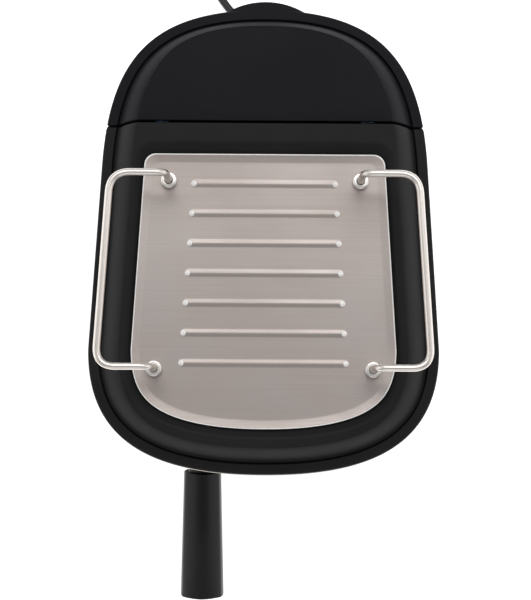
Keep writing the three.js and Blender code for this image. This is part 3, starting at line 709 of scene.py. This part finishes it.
# Cup tray, rail sockets and rails

trayLow, trayHigh = corners("cup_tray")
cupTray = dict(
    inset=25.8, back=trayHigh[1], corner=6.0, top=trayHigh[2] - 0.9, bottom=trayLow[2], middle=(0.0, -6.0),
    ribCount=7, ribBack=66.9, ribStep=16.85, ribHalf=40.4, ribGrow=1.05, ribReach=2.5, ribRise=0.42,
    capRadius=2.1, capRise=0.8, capInset=1.0, bead=0.36)


# A pressed rib rises by (1 + cos(pi d / reach)) / 2, where d is the distance from its middle line.
def ribSkin(y, half, settings):
    angle = np.linspace(-math.pi / 2, math.pi / 2, 16)
    edge = np.stack([np.cos(angle), np.sin(angle)], -1)
    core = np.vstack([np.tile((half - 1.3, 0.0), (16, 1)), np.tile((1.3 - half, 0.0), (16, 1))])
    around = np.vstack([edge, -edge])
    rows = [np.c_[core + around * settings["ribReach"] + (0, y), np.full(32, settings["top"] - 0.6)]]
    for share in np.linspace(1, 0.06, 10):
        rise = settings["ribRise"] * (1 + math.cos(math.pi * share)) / 2
        ring = core + around * settings["ribReach"] * share + (0, y)
        rows.append(np.c_[ring, np.full(32, settings["top"] + rise)])
    return skin(rows, (0, y, settings["top"] - 0.6), (0, y, settings["top"] + settings["ribRise"]))


def makeCupTray(settings):
    top, bottom, inset, back = (settings[key] for key in ("top", "bottom", "inset", "back"))
    profile = [(1.4, bottom), (0.3, bottom + 0.1), (0, bottom + 0.4), (0, top + 0.4), (0.1, top + 0.62),
               (0.35, top + 0.72), (0.7, top + 0.68), (1.1, top + 0.6), (4.4, top + 0.06), (4.8, top + 0.01),
               (5.3, top), (9.0, top)]
    rows = [frontRing(inset + d, z, back - d, settings["corner"] - 0.35 * d) for d, z in profile]
    skins, caps = [skin(rows, (*settings["middle"], bottom), (*settings["middle"], top))], []
    reach = np.linspace(1, 0, 12)
    rise = settings["capRise"] * (1 + np.cos(math.pi * reach)) / 2
    cap = [(0, top - 0.5), *np.stack([settings["capRadius"] * reach, top + rise], -1)]
    for i in range(settings["ribCount"]):
        y, half = settings["ribBack"] - i * settings["ribStep"], settings["ribHalf"] + i * settings["ribGrow"]
        skins.append(ribSkin(y, half, settings))
        half -= settings["capInset"]
        caps += [turned(cap, (x, y, 0), sides=24) for x in (-half, half)]
    # The rib end caps take the near-white finish: painted highlights at both ends of each rib
    build("cup_tray_rib_ends", caps, "housing", ["cup_tray"], material=finishes["rib_end"], crease=40)

    # A thin raised bead round the plate's edge, in the same near-white finish: a painted highlight line along
    # the edge
    around = np.linspace(0, 2 * math.pi, 10, endpoint=False)
    bead = zip(settings["bead"] * (1 + np.cos(around)), settings["bead"] * np.sin(around))
    rows = [frontRing(inset + d - 0.1, top + 0.5 + z, back - d + 0.1, settings["corner"]) for d, z in bead]
    build("cup_tray_edge_highlight", [skin(rows, loop=True)], "housing", ["cup_tray"], material=finishes["rib_end"])

    steel = finishes["tray_steel"]
    setGrain(build("cup_tray_plate", skins, "housing", ["cup_tray"], material=steel, crease=40).data)


# A map whose first axis runs back to front, for the brushing to follow.
def setGrain(mesh):
    grain = mesh.uv_layers.new(name="grain")
    loops = np.empty(len(mesh.loops), int)
    mesh.loops.foreach_get("vertex_index", loops)
    flat = np.empty(len(mesh.vertices) * 3)
    mesh.vertices.foreach_get("co", flat)
    grain.data.foreach_set("uv", flat.reshape(-1, 3)[loops][:, [1, 0]].ravel())


makeCupTray(cupTray)

sockets = dict(outer=4.6, bore=2.3)


def makeSocket(node):
    low, high = corners(node)
    x, y = (low[:2] + high[:2]) / 2
    rise = high[2] - low[2]
    ring = softened([
        (sockets["bore"], 0), (sockets["outer"], 0), (sockets["outer"], rise), (sockets["bore"], rise),
        (sockets["bore"], 0)], (0, 0.3, 1.1, 0.5, 0), 7)[:-1]
    body = turned(ring, (x, y, low[2]), sides=48)
    build(node + "_ferrule", [body], "housing", [node], material=finishes["ferrule"])


for end in ("front", "rear"):
    for side in ("left", "right"):
        makeSocket(f"rail_socket_{end}_{side}")

railWire = dict(radius=2.0, top=corners("cup_rail_right")[1][2] - 2.0, foot=corners("cup_rail_right")[0][2],
                rearX=84.2, frontX=91.0, bends=(0, 7, 11, 11, 7, 0))


def makeRail(side, sign):
    ends = {}
    for end in ("front", "rear"):
        low, high = corners(f"rail_socket_{end}_{side}")
        ends[end] = (low[:2] + high[:2]) / 2
    (frontX, frontY), (rearX, rearY) = ends["front"], ends["rear"]
    foot, top = railWire["foot"], railWire["top"]
    points = [(rearX, rearY, foot), (rearX, rearY, top), (sign * railWire["rearX"], rearY, top),
              (sign * railWire["frontX"], frontY, top), (frontX, frontY, top), (frontX, frontY, foot)]
    line = evenly(softened(points, railWire["bends"], 14), 190)
    build(f"cup_rail_wire_{side}", [sweptSkin(line, railWire["radius"], 28)], "housing", [f"cup_rail_{side}"])


makeRail("left", -1)
makeRail("right", 1)
print("cup tray and rails made")


# Tank, housing, base and trim

def profileRing(rows, ring, poles=None):
    rings = [ring(*row) for row in rows]
    return skin(rings, *poles) if poles else skin(rings, loop=True)


def makeTank():
    front, low, high = tankLow[1], tankLow[2], tankHigh[2]
    rows = [(9, low, front + 5, 4), (5.2, low + 0.2, front + 1, 4), (4.2, low + 1.2, front, 4),
            (4.2, high - 6, front, 4), (4.2, high - 0.8, front, 4), (4.6, high - 0.2, front + 0.4, 4),
            (5.3, high, front + 1.1, 3.6), (6.1, high - 0.2, front + 1.9, 3),
            (6.5, high - 0.8, front + 2.3, 3), (6.5, low + 4, front + 2.3, 3),
            (7.4, low + 2.6, front + 3.2, 3), (9.5, low + 2.2, front + 6, 3)]
    whole = profileRing(rows, rearRing, ((0, rearMiddle, low), (0, rearMiddle, low + 2.2)))
    build("tank_skin", [whole], "tank", ["water_tank"])


# A hinge post is its side outline carried across its width: a round head on a straight stem with a guide
# in front.
def makeHingePosts():
    foot = tankHigh[2] - 1.5
    y, z, r = hinge["pivotY"], hinge["pivotZ"], hinge["headRadius"]
    turn = np.linspace(0, math.pi, 12)
    head = np.stack([y + r * np.cos(turn), z + r * np.sin(turn)], -1)
    back, front, top = hinge["postBack"], hinge["guideFront"], hinge["guideTop"]
    outline = np.vstack([(front + 1, foot), (back, foot), (back, z - 3), (y + r, z - 1.5), head,
                         (y - r, top + 0.8), (y - r - 0.4, top), (front + 0.3, top), (front, top - 0.3),
                         (front, foot + 4)])
    centre = (back - 1, z - 8)
    for side, sign in (("left", -1), ("right", 1)):
        x = sign * hinge["x"]
        rings = []
        for shift, inset in ((-1, hinge["endInset"]), (-0.94, 0), (0.94, 0), (1, hinge["endInset"])):
            flat = outline + (centre - outline) * inset
            rings.append(np.c_[np.full(len(flat), x + shift * hinge["half"]), flat])
        poles = [(x + shift * hinge["half"], *centre) for shift in (-1, 1)]
        pin = rodSkin(hinge["pinRadius"], -hinge["pinHalf"], hinge["pinHalf"], (x, y, z), (1, 0, 0), 24)
        build(f"tank_hinge_post_{side}", [skin(rings, *poles), pin], "tank", [f"tank_hinge_{side}"])


def rodSkin(radius, start, end, origin=(0, 0, 0), axis=(0, 0, 1), sides=64):
    return turned([(0, start), (radius, start), (radius, end), (0, end)], origin, axis, sides)


def makeBase():
    low, high = corners("base_housing")
    front, bottom, top = low[1], low[2], high[2]
    rows = [(8, top - 2.5, front + 5, 3), (6.6, top - 3.2, front + 3.8, 3),
            (6.5, bottom + 0.8, front + 3.7, 3), (6.0, bottom, front + 2.6, 3),
            (4.5, bottom + 0.1, front + 0.5, 3), (4, bottom + 0.8, front, 3), (4, top - 0.8, front, 3),
            (4.3, top - 0.15, front + 0.3, 3), (5.2, top, front + 1.2, 3)]
    piece = makeMesh("base_skin", [profileRing(rows, rearRing, ((0, 95, top - 2.5), (0, 95, top)))])
    seatHole = makeMesh("seat_hole", [turned([(0, 20), (11, 20), (11, 40), (0, 40)], (0, 122, 0), sides=64)])
    carve(piece, [seatHole], 0.3)
    place(piece, "housing", ["base_housing"])
    shelfLow, shelfHigh = corners("tray_shelf")
    back, bottom, top = shelfHigh[1], shelfLow[2], shelfHigh[2]
    rows = [(9, bottom, back - 1, 2), (8, bottom + 0.5, back, 2), (8, top - 0.5, back, 2),
            (9, top, back - 1, 2)]
    shelf = profileRing(rows, frontRing, ((0, -20, bottom), (0, -20, top)))
    build("tray_shelf_skin", [shelf], "housing", ["tray_shelf"])
    for node in ("foot_front_left", "foot_front_right", "foot_rear_left", "foot_rear_right"):
        low, high = corners(node)
        x, y = (low[:2] + high[:2]) / 2
        profile = softened([(0, 0.4), (5.5, 0.4), (6, 0), (8, 0), (9, 1), (9, high[2]), (0, high[2])], 0.35)
        build(node + "_pad", [turned(profile, (x, y, low[2]), sides=48)], "housing", [node])


# Point on the head's front wall at a height, and the way that the wall faces there.
def onFront(x, z):
    side = rim[:, 1] < plan["widestY"]
    xs = rim[side, 0]
    at = lambda values: np.interp(abs(x), xs, values)
    facing = -np.array((at(rimInward[side, 0]), at(rimInward[side, 1])))
    edge = np.array((abs(x), at(rim[side, 1]))) - facing * 4
    sign = math.copysign(1, x)
    return np.array((sign * edge[0], edge[1], z)), np.array((sign * facing[0], facing[1], 0))


keys = {"power": -18.0, "brew": 2.0, "steam": 22.0}
lamps = {"ready": -8.0, "heat": 12.0}
controls = dict(keyZ=206.0, lampZ=219.0, keyRadius=6.8, lampRadius=2.4, keyRoom=0.5, lampRoom=0.3,
                dialRoom=0.7)
dialLow, dialHigh = corners("steam_dial")
dial = dict(x=(dialLow[0] + dialHigh[0]) / 2, y=(dialLow[1] + dialHigh[1]) / 2,
            radius=(dialHigh[0] - dialLow[0]) / 2, low=dialHigh[2] - 12, high=dialHigh[2], depth=0.7,
            count=40)


def makeHousing():
    low, high = corners("body_shell")
    bottom, top, back = low[2], high[2], tankLow[1] - 0.6
    underside = corners("head_underside")[0][2] - 0.3
    column = corners("splash_panel")[0][1] - 0.3
    rows = [(4.4, bottom, back - 0.4, 4), (4, bottom + 0.5, back, 4), (4, bottom + 60, back, 4),
            (4, underside, back, 4), (4, top - 0.5, back, 4), (4.4, top, back - 0.4, 4),
            (6.1, top, back - 2.1, 3), (6.5, top - 0.5, back - 2.5, 3), (6.5, bottom + 0.5, back - 2.5, 3),
            (6.1, bottom, back - 2.1, 3)]
    piece = makeMesh("housing_skin", [profileRing(rows, frontRing)])
    cutters = [makeMesh("cup_space", [boxSkin((-120, -120, 0), (120, column, underside))])]
    holes = []
    for places, kind, sides in ((keys, "key", 64), (lamps, "lamp", 32)):
        radius = controls[kind + "Radius"] + controls[kind + "Room"]
        holes += [rodSkin(radius, -8, 5, *onFront(x, controls[kind + "Z"]), sides) for x in places.values()]
    room = controls["dialRoom"]
    low, high = dial["low"] - room, dial["high"] + room
    holes.append(rodSkin(dial["radius"] + room, low, high, (dial["x"], dial["y"], 0), sides=96))
    cutters.append(makeMesh("control_holes", holes))
    carve(piece, cutters, 0.45)
    place(piece, "housing", ["body_shell"])


# The bright trim is a rounded strip carried along the rim's front.
def makeTrim():
    low, high = corners("front_trim")
    section = softened([(3.7, 0), (-0.6, 0), (-0.6, high[2] - low[2]), (3.7, high[2] - low[2]), (3.7, 0)],
                       0.9, 6)
    end = high[1]
    rows = []
    for distance in section[:-1, 0]:
        line = insetLine(distance)
        half = evenly(line[line[:, 1] < end], 90)
        rows.append(np.vstack([half[::-1] * (-1, 1), half[1:]]))
    grid = np.stack(rows, 1)
    heights = np.broadcast_to(low[2] + section[:-1, 1], grid.shape[:2])
    rings = np.concatenate([grid, heights[..., None]], -1)
    build("front_trim_strip", [skin(rings, rings[0].mean(0), rings[-1].mean(0))], "housing", ["front_trim"])


makeTank()
makeHingePosts()
makeBase()
makeHousing()
makeTrim()
print("tank, base, housing and trim made")


# Controls

def makeKeys():
    radius = controls["keyRadius"]
    outline = [(0, -11), (5, -11), (5, -6), (8.5, -6), (8.5, -3.6), (radius, -3.6), (radius, 1.4), (5.6, 1.6),
               (4.6, 1.15), (2.4, 0.85), (0, 0.8)]
    profile = softened(outline, [0.4] * 6 + [0.8, 0.5, 0.8, 1, 0])
    for name, x in keys.items():
        cap = turned(profile, *onFront(x, controls["keyZ"]), 64)
        build(name + "_key_cap", [cap], name + "_key", [name + "_button"])
    radius = controls["lampRadius"]
    profile = [(0, -6), (radius, -6), (radius, -0.4), (radius * 0.97, -0.1), (radius * 0.8, 0.2),
               (radius * 0.5, 0.4), (0, 0.5)]
    for name, x in lamps.items():
        lens = turned(profile, *onFront(x, controls["lampZ"]), 32)
        build(name + "_lamp_lens", [lens], "housing", [name + "_lamp"])


# The dial's edge is scalloped: over its grip band, its radius falls by (1 - cos(count * angle)) / 2 of the
# depth.
def makeDial():
    low, high, radius = dial["low"], dial["high"], dial["radius"]
    height = high - low
    profile = softened([(0, -8), (3, -8), (3, 0), (radius - 1.2, 0), (radius, 1.2), (radius, height / 2),
                        (radius, height - 1.2), (radius - 1.2, height), (radius - 6, height),
                        (radius - 7, height - 0.5), (0, height - 0.5)], 0.6)

    def scallop(radii, angle, heights):
        band = np.clip((radii - radius + 2.4) / 1.2, 0, 1)
        return radii - dial["depth"] * band * (1 - np.cos(dial["count"] * angle)) / 2

    wheel = turned(profile, (dial["x"], dial["y"], low), sides=480, ripple=scallop)
    build("steam_dial_wheel", [wheel], "steam_dial", ["steam_dial"])


makeKeys()
makeDial()


# Brew group and portafilter

brew = dict(x=-38.0, y=-13.0)


def aboutGroup(profile, sides=96):
    return turned(profile, (brew["x"], brew["y"], 0), sides=sides)


def makeGroup():
    section = softened([(30.3, 152), (37, 152), (37, 178), (30.3, 178), (30.3, 166), (33.8, 166),
                        (33.8, 158.4), (30.3, 158.4), (30.3, 152)], 0.6, 4)[:-1]
    ring = makeMesh("group_ring_casting", [aboutGroup(section)])
    slots = []
    for degrees in (-45, 135):
        turn = math.radians(degrees)
        points, quads, fans = boxSkin((28, -9, 140), (34.4, 9, 159))
        flat = points[:, :2] @ np.array([(math.cos(turn), math.sin(turn)), (-math.sin(turn), math.cos(turn))])
        slots.append((np.c_[flat + (brew["x"], brew["y"]), points[:, 2]], quads, fans))
    carve(ring, [makeMesh("bayonet_slots", slots)], 0.3)
    place(ring, "housing", ["group_ring"])


grip = dict(start=(-72.0, 140.0), end=(-175.0, 123.6), overrun=2.6, cone=2.6, radii=(11.6, 14.2),
            neck=(21.4, 25.6), neckRadius=8.8, ridge=math.radians(14.3), flatness=0.35)


# The grip has six soft flats: its radius is blended towards cos(30 deg) / cos(angle from the flat's middle).
def makePortafilter():
    bowl = aboutGroup(softened([(0, 128), (19, 128), (26, 135), (29.6, 157), (29.6, 166), (26.6, 166),
                                (26.6, 158), (24, 137), (17, 131), (0, 131)],
                               [0, 2.5, 3, 2, 0.8, 0.8, 1, 2, 2, 0]))
    ears = []
    for sign in (-1, 1):
        x0, x1 = sorted((brew["x"] + sign * 27.6, brew["x"] + sign * 33))
        ears.append(boxSkin((x0, brew["y"] - 6.5, 159.2), (x1, brew["y"] + 6.5, 164)))
    build("portafilter_bowl_turned", [bowl, *ears], "portafilter", ["portafilter_bowl"])

    gripStart = np.array((brew["x"], *grip["start"]))
    droop = np.array((brew["x"], *grip["end"])) - gripStart
    length = np.linalg.norm(droop)
    end = length + grip["overrun"]
    wall = lambda s: np.interp(s, (3, end - grip["cone"]), grip["radii"])
    neckFrom, neckTo = grip["neck"]
    profile = softened([(0, 0.4), (9.6, 0.4), (10.8, 0.4), (wall(3), 3), (wall(neckFrom), neckFrom),
                        (grip["neckRadius"], neckFrom + 0.5), (grip["neckRadius"], neckTo - 0.5),
                        (wall(neckTo), neckTo), (wall(end), end - grip["cone"]), (0, end)],
                       [0, 0.4, 0.8, 1.5, 0.6, 0.3, 0.3, 0.6, 0.7, 0], 7)

    def flats(radii, angle, heights):
        turn = (angle - grip["ridge"]) % (math.pi / 3) - math.pi / 6
        return radii * (1 + grip["flatness"] * (math.cos(math.pi / 6) / np.cos(turn) - 1))

    handle = turned(profile, gripStart, droop, 120, flats)
    build("portafilter_grip", [handle], "portafilter", ["portafilter_handle"])

    neckStart = gripStart - unit(droop) * 36
    profile = softened([(0, 2), (6.4, 2), (6.4, 29), (9.0, 32.6), (9.6, 33.4), (9.6, 36), (0, 36)],
                       [0, 0.5, 3, 1, 0.6, 0.3, 0])
    build("portafilter_neck_bar", [turned(profile, neckStart, droop, 64)], "portafilter",
          ["portafilter_neck"])

    skins = [aboutGroup(softened([(0, 114), (7.5, 114), (9, 117), (9, 127.7), (0, 127.7)], 1.2), 64)]
    for sign in (-1, 1):
        bend = ((0, 121), (8, 118), (13, 112), (14, 105))
        line = evenly(smoothLine([(brew["x"] + sign * dx, brew["y"], z) for dx, z in bend], 12), 40)
        rings = swept(line, np.linspace(4.6, 4.2, 40), 32)
        mouth = line[-1] + (rings[-1] - line[-1]) * 0.78
        deep = mouth + (line[-7] - line[-1])
        skins.append(skin([*rings, mouth, deep], line[0], line[-7]))
    build("twin_spout_casting", skins, "portafilter", ["twin_spout"])


makeGroup()
makePortafilter()
print("controls, group and portafilter made")


# Steam wand

wand = dict(topX=56.0, topY=5.0, ballZ=171.5, ballRadius=6, tipX=64.0, tipY=-27.0, radius=3.0)


def makeWand():
    x, y, tx, ty = wand["topX"], wand["topY"], wand["tipX"], wand["tipY"]
    line = evenly(smoothLine([(x, y, 168), (x, y, 158), (x + 3, y - 12, 146), (tx - 0.6, ty + 4, 138),
                              (tx, ty, 130), (tx, ty, 118), (tx, ty, 106)], 12), 90)
    turn = np.linspace(0, math.pi, 20)
    ball = (wand["ballRadius"] * np.stack([np.sin(turn), -np.cos(turn)], -1)).round(9)
    ball = turned(ball, (x, y, wand["ballZ"]), sides=48)
    build("steam_wand_tube", [sweptSkin(line, wand["radius"], 28), ball], "wand", ["steam_wand"])
    section = softened([(3.9, 96), (6.9, 96), (7.8, 98), (8, 104), (7.5, 105), (8, 106), (8, 110), (7.5, 111),
                        (8, 112), (8, 116), (7.5, 117), (8, 118), (8, 121.5), (5.8, 126), (3.9, 126),
                        (3.9, 96)], 0.6, 4)[:-1]
    build("froth_sleeve_moulding", [turned(section, (tx, ty, 0), sides=64)], "sleeve", ["froth_sleeve"])
    section = softened([(4, 163), (7.2, 163), (9, 166), (9, 182), (3, 184), (3, 180), (6.6, 178), (6.6, 168),
                        (4, 165.6), (4, 163)], 0.5, 4)[:-1]
    build("wand_socket_nut", [turned(section, (x, y, 0), sides=64)], "housing", ["wand_socket"])


makeWand()


# Drip tray, grille and float

floatAt = dict(x=40.0, y=-58.0, hole=8.0)
slot = dict(count=9, front=-70, step=10, half=2.4, middle=4, narrowest=52, grow=7, widest=80,
            leftOut=(1, 1))  # row and side of the slot that the float's hole takes up


# Slots are stadiums: two half circles joined by straight sides.
def slotSkin(x0, x1, y, half, z0, z1):
    angle = np.linspace(-math.pi / 2, math.pi / 2, 10)
    right = np.stack([x1 - half + half * np.cos(angle), y + half * np.sin(angle)], -1)
    left = np.stack([x0 + half - half * np.cos(angle), y - half * np.sin(angle)], -1)
    ring = np.vstack([right, left])
    centre = ((x0 + x1) / 2, y)
    return skin([np.c_[ring, np.full(20, z)] for z in (z0, z1)], (*centre, z0), (*centre, z1))


def makeDripTray():
    low, high = corners("drip_tray")
    bottom, top, back = low[2], high[2], high[1]
    rows = [(9, bottom, back - 4, 3), (5.4, bottom + 0.3, back - 1.2, 4), (4.2, bottom + 1.8, back, 4),
            (4.2, top - 0.8, back, 4), (4.6, top - 0.15, back - 0.4, 4), (5.4, top, back - 1.0, 3.6),
            (6.4, top - 0.15, back - 2.0, 3), (6.9, top - 0.8, back - 2.5, 3),
            (6.9, bottom + 4, back - 2.5, 3), (8.4, bottom + 2.7, back - 4, 3)]
    tray = profileRing(rows, frontRing, ((0, -30, bottom), (0, -30, bottom + 2.7)))
    build("drip_tray_moulding", [tray], "tray", ["drip_tray"])

    low, high = corners("drip_grille")
    bottom, top, back = low[2], high[2], high[1]
    rows = [(5.6, bottom, back - 0.6, 3), (5, bottom + 0.6, back, 3), (5, top - 0.6, back, 3),
            (5.2, top - 0.15, back - 0.2, 3), (5.7, top, back - 0.7, 3)]
    grille = makeMesh("drip_grille_plate", [profileRing(rows, frontRing, ((0, -30, bottom), (0, -30, top)))])
    slots = []
    for i in range(slot["count"]):
        y, half = slot["front"] + i * slot["step"], min(slot["widest"], slot["narrowest"] + i * slot["grow"])
        for sign in (-1, 1):
            if (i, sign) != slot["leftOut"]:
                slots.append(slotSkin(*sorted((slot["middle"] * sign, half * sign)), y, slot["half"], 20, 50))
    hole = rodSkin(floatAt["hole"], 20, 50, (floatAt["x"], floatAt["y"], 0))
    carve(grille, [makeMesh("grille_slots", slots), makeMesh("float_hole", [hole])], 0.35, crease=22)
    place(grille, "grille", ["drip_grille"])

    low, high = corners("level_float")
    profile = softened([(0, low[2]), (9, low[2]), (9, low[2] + 6), (6, low[2] + 7), (6, high[2]),
                        (0, high[2])], 0.8)
    marker = turned(profile, (floatAt["x"], floatAt["y"], 0), sides=48)
    build("level_float_moulding", [marker], "float", ["level_float"])


makeDripTray()
print("wand and drip tray made")

for name, node in frame["nodes"].items():
    if not node.hide_render:
        node.data.materials.clear()
        node.data.materials.append(finishes[slotOf[name]])


# Floor and light

studio = dict(
    floorHalf=6.0, floorTone=(0.86, 0.86, 0.86), floorGlow=0.72, world=0.35,
    boxes={  # place, aim, width and height in metres, radiance
        "left": ((-1.5, 0.1, 0.85), (0, 0, 0.2), (1.7, 1.3), 0.75),
        "right": ((1.5, 0.1, 0.85), (0, 0, 0.2), (1.7, 1.3), 0.75),
        "back": ((0.1, 0.82, 1.65), (0, 0, 0.2), (1.8, 0.9), 2.35),
        "front": ((0.0, -1.5, 1.2), (0, 0, 0.2), (1.6, 0.8), 0.8)})


def addStudio(settings):
    half = settings["floorHalf"]
    mesh = bpy.data.meshes.new("floor")
    square = [(-half, -half, 0), (half, -half, 0), (half, half, 0), (-half, half, 0)]
    mesh.from_pydata(square, [], [(0, 1, 2, 3)])
    floor = bpy.data.objects.new("floor", mesh)
    bpy.context.scene.collection.objects.link(floor)
    material, _, shader = openMaterial("pale floor")
    shader.inputs["Base Color"].default_value = (*settings["floorTone"], 1)
    shader.inputs["Roughness"].default_value = 0.9
    shader.inputs["Emission Color"].default_value = (1, 1, 1, 1)
    shader.inputs["Emission Strength"].default_value = settings["floorGlow"]
    mesh.materials.append(material)

    world = bpy.data.worlds.new("studio")
    bpy.context.scene.world = world
    world.use_nodes = True
    sky = world.node_tree.nodes["Background"]
    sky.inputs["Color"].default_value = (0.98, 0.99, 1.0, 1)
    seen = addNode(world.node_tree, "ShaderNodeLightPath").outputs["Is Camera Ray"]
    world.node_tree.links.new(rangeTo(world.node_tree, seen, settings["world"], 1.0), sky.inputs["Strength"])

    for name, (where, aim, (width, height), radiance) in settings["boxes"].items():
        light = bpy.data.lights.new(name, "AREA")
        light.shape, light.size, light.size_y = "RECTANGLE", width, height
        light.energy = radiance * math.pi * width * height
        box = bpy.data.objects.new(name, light)
        box.location = where
        direction = Vector(aim) - Vector(where)
        box.rotation_euler = direction.to_track_quat("-Z", "Y").to_euler()
        bpy.context.scene.collection.objects.link(box)
    bpy.context.scene.view_settings.view_transform = "Standard"


addStudio(studio)
